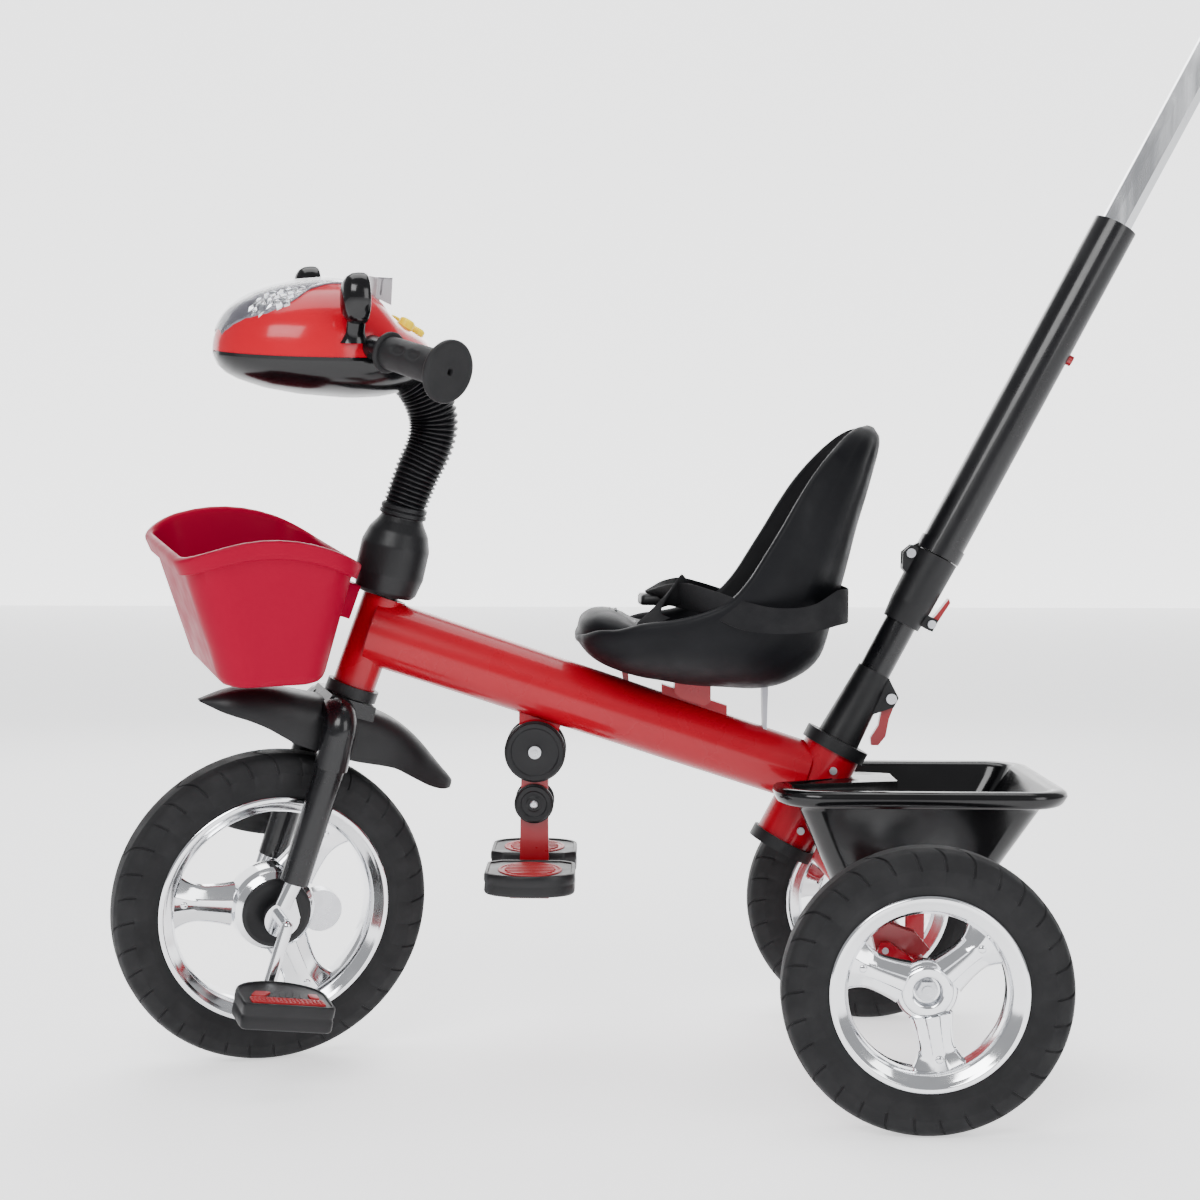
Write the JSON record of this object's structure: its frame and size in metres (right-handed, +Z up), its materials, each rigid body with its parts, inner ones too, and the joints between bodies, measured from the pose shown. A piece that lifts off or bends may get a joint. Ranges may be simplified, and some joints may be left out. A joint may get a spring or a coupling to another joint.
{
  "type": "children's tricycle",
  "caption": "Children's tricycle with steered front wheel and pedals, bucket seat, handlebar console, folding footrest, baskets front and rear, and a folding telescopic push bar.",
  "frame": {"origin": "bottom centre of the whole tricycle, on the ground", "axes": "+X forward, +Y the rider's left, +Z up"},
  "size_m": [1.0872, 0.455, 1.0564],
  "materials": {
    "red_paint": "gloss paint",
    "black_paint": "gloss paint",
    "red_plastic": "moulded gloss",
    "black_plastic": "satin moulded",
    "black_gloss": "gloss moulded",
    "tyre_foam": "matte foam tyre",
    "rim_chrome": "metallised",
    "chrome": "bright plated",
    "steel": "zinc plated",
    "clear_plastic": "clear moulded",
    "lamp": "faceted clear",
    "yellow_plastic": "gloss moulded",
    "grip_foam": "matte foam",
    "webbing": "woven strap",
    "board": "circuit board"
  },
  "bodies": {
    "frame": {"rear_axle_housing": "red_paint", "rear_axle_rod": "steel", "bearing_rings": "black_plastic", "axle_nuts_and_washers": "steel", "main_frame": "red_paint", "column_collars": "black_plastic", "frame_screws_and_bolts": "steel", "rear_basket": "black_gloss", "seat_rail": "red_paint", "push_bar_lower_tube": "black_paint", "push_bar_socket": "black_plastic", "fold_clamp": "black_plastic", "footrest_bracket": "red_paint", "footrest_disc_covers": "black_plastic"},
    "steering": {"fork": "black_paint", "fork_ends": "chrome", "front_fender": "black_plastic", "front_basket": "red_plastic", "handlebar_stem": "steel", "stem_cover": "black_plastic", "corrugated_hose": "black_plastic", "handlebar_tube": "black_paint", "handlebar_grips": "grip_foam", "console_upper_shell": "red_plastic", "console_lower_shell": "black_gloss", "clear_canopy": "clear_plastic", "headlights": "lamp", "battery_box": "black_plastic", "sound_board_and_speaker": "board"},
    "front_wheel": {"front_tyre": "tyre_foam", "front_rim": "rim_chrome", "crankshaft": "chrome", "clutch_housing": "black_plastic"},
    "clutch_knob": {"clutch_knob": "red_plastic"},
    "pedal_left": {"pedal_left": "black_plastic"},
    "pedal_right": {"pedal_right": "black_plastic"},
    "rear_wheel_left": {"rear_tyre_left": "tyre_foam", "rear_rim_left": "rim_chrome"},
    "rear_wheel_right": {"rear_tyre_right": "tyre_foam", "rear_rim_right": "rim_chrome"},
    "seat": {"seat_shell": "black_plastic", "seat_mount": "red_plastic", "lap_belt": "webbing"},
    "footrest_link": {"footrest_link": "black_plastic"},
    "foot_pads": {"footrest_strut": "red_plastic", "foot_pads": "black_plastic"},
    "push_bar": {"push_bar_sleeve": "black_paint"},
    "height_button": {"height_button": "red_plastic"},
    "handle": {"chrome_tube": "chrome", "handle_hub": "black_plastic", "handle_grips": "grip_foam"},
    "bar_latch_lever": {"bar_latch_lever": "red_plastic"},
    "fold_latch_lever": {"fold_latch_lever": "red_plastic"},
    "brake_pedal_left": {"brake_pedal_left": "red_plastic"},
    "brake_pedal_right": {"brake_pedal_right": "red_plastic"},
    "mirror_left": {"mirror_left": "black_plastic"},
    "mirror_right": {"mirror_right": "black_plastic"},
    "horn_button_1": {"horn_button_1": "yellow_plastic"},
    "horn_button_2": {"horn_button_2": "yellow_plastic"},
    "horn_button_3": {"horn_button_3": "yellow_plastic"}
  },
  "joints": [
    {"name": "steer", "type": "hinge", "parent": "frame", "child": "steering", "pos_m": [0.29952, 0, 0.4106], "axis": [-0.3387, 0, 0.9409], "range_deg": [-64, 16]},
    {"name": "front_wheel_spin", "type": "hinge", "parent": "steering", "child": "front_wheel", "pos_m": [0.39636, 0.00184, 0.15387], "axis": [-0.3827, 0.9135, -0.1378], "continuous": true},
    {"name": "clutch_press", "type": "slide", "parent": "front_wheel", "child": "clutch_knob", "axis": [-0.3827, 0.9135, -0.1378], "range_m": [0, 0.003]},
    {"name": "pedal_left_spin", "type": "hinge", "parent": "front_wheel", "child": "pedal_left", "pos_m": [0.37487, 0.097, 0.08239], "axis": [-0.3827, 0.9135, -0.1378], "continuous": true},
    {"name": "pedal_right_spin", "type": "hinge", "parent": "front_wheel", "child": "pedal_right", "pos_m": [0.41785, -0.09331, 0.22534], "axis": [-0.3827, 0.9135, -0.1378], "continuous": true},
    {"name": "rear_wheel_left_spin", "type": "hinge", "parent": "frame", "child": "rear_wheel_left", "pos_m": [-0.20287, 0.205, 0.125], "axis": [0, 1, 0], "continuous": true},
    {"name": "rear_wheel_right_spin", "type": "hinge", "parent": "frame", "child": "rear_wheel_right", "pos_m": [-0.20287, -0.205, 0.125], "axis": [0, 1, 0], "continuous": true},
    {"name": "seat_slide", "type": "slide", "parent": "frame", "child": "seat", "axis": [0.9508, 0, 0.3098], "range_m": [-0.02, 0.03]},
    {"name": "footrest_fold", "type": "hinge", "parent": "frame", "child": "footrest_link", "pos_m": [0.13953, 0, 0.306], "axis": [0, 1, 0], "range_deg": [0, 50]},
    {"name": "footrest_knee", "type": "hinge", "parent": "footrest_link", "child": "foot_pads", "pos_m": [0.14053, 0, 0.256], "axis": [0, 1, 0], "range_deg": [-40, 0]},
    {"name": "push_bar_fold", "type": "hinge", "parent": "frame", "child": "push_bar", "pos_m": [-0.21516, 0, 0.49541], "axis": [0, 1, 0], "range_deg": [0, 30]},
    {"name": "height_button_press", "type": "slide", "parent": "push_bar", "child": "height_button", "axis": [0.8854, 0, 0.4648], "range_m": [0, 0.002], "stiffness_N_per_m": 400, "springref_m": -0.001},
    {"name": "handle_height", "type": "slide", "parent": "push_bar", "child": "handle", "axis": [-0.4648, 0, 0.8854], "range_m": [-0.185, 0.06]},
    {"name": "bar_latch", "type": "hinge", "parent": "frame", "child": "bar_latch_lever", "pos_m": [-0.19793, 0, 0.35717], "axis": [0, 1, 0], "range_deg": [0, 70]},
    {"name": "fold_latch", "type": "hinge", "parent": "frame", "child": "fold_latch_lever", "pos_m": [-0.23512, 0, 0.42801], "axis": [0, 1, 0], "range_deg": [-60, 0]},
    {"name": "brake_left", "type": "hinge", "parent": "frame", "child": "brake_pedal_left", "pos_m": [-0.17288, 0.1505, 0.15], "axis": [0, 1, 0], "range_deg": [0, 15]},
    {"name": "mirror_left_turn", "type": "hinge", "parent": "steering", "child": "mirror_left", "pos_m": [0.29735, 0.12489, 0.6895], "axis": [-0.1382, 0.3987, 0.9066], "range_deg": [-20, 20]},
    {"name": "brake_right", "type": "hinge", "parent": "frame", "child": "brake_pedal_right", "pos_m": [-0.17288, -0.1505, 0.15], "axis": [0, 1, 0], "range_deg": [0, 15]},
    {"name": "mirror_right_turn", "type": "hinge", "parent": "steering", "child": "mirror_right", "pos_m": [0.3559, -0.01488, 0.71058], "axis": [0.0855, -0.1352, 0.9871], "range_deg": [-20, 20]},
    {"name": "horn_button_1_press", "type": "slide", "parent": "steering", "child": "horn_button_1", "axis": [0.4853, 0.0719, -0.8714], "range_m": [0, 0.002], "stiffness_N_per_m": 400, "springref_m": -0.001},
    {"name": "horn_button_2_press", "type": "slide", "parent": "steering", "child": "horn_button_2", "axis": [0.4853, 0.0719, -0.8714], "range_m": [0, 0.002], "stiffness_N_per_m": 400, "springref_m": -0.001},
    {"name": "horn_button_3_press", "type": "slide", "parent": "steering", "child": "horn_button_3", "axis": [0.4853, 0.0719, -0.8714], "range_m": [0, 0.002], "stiffness_N_per_m": 400, "springref_m": -0.001}
  ]
}
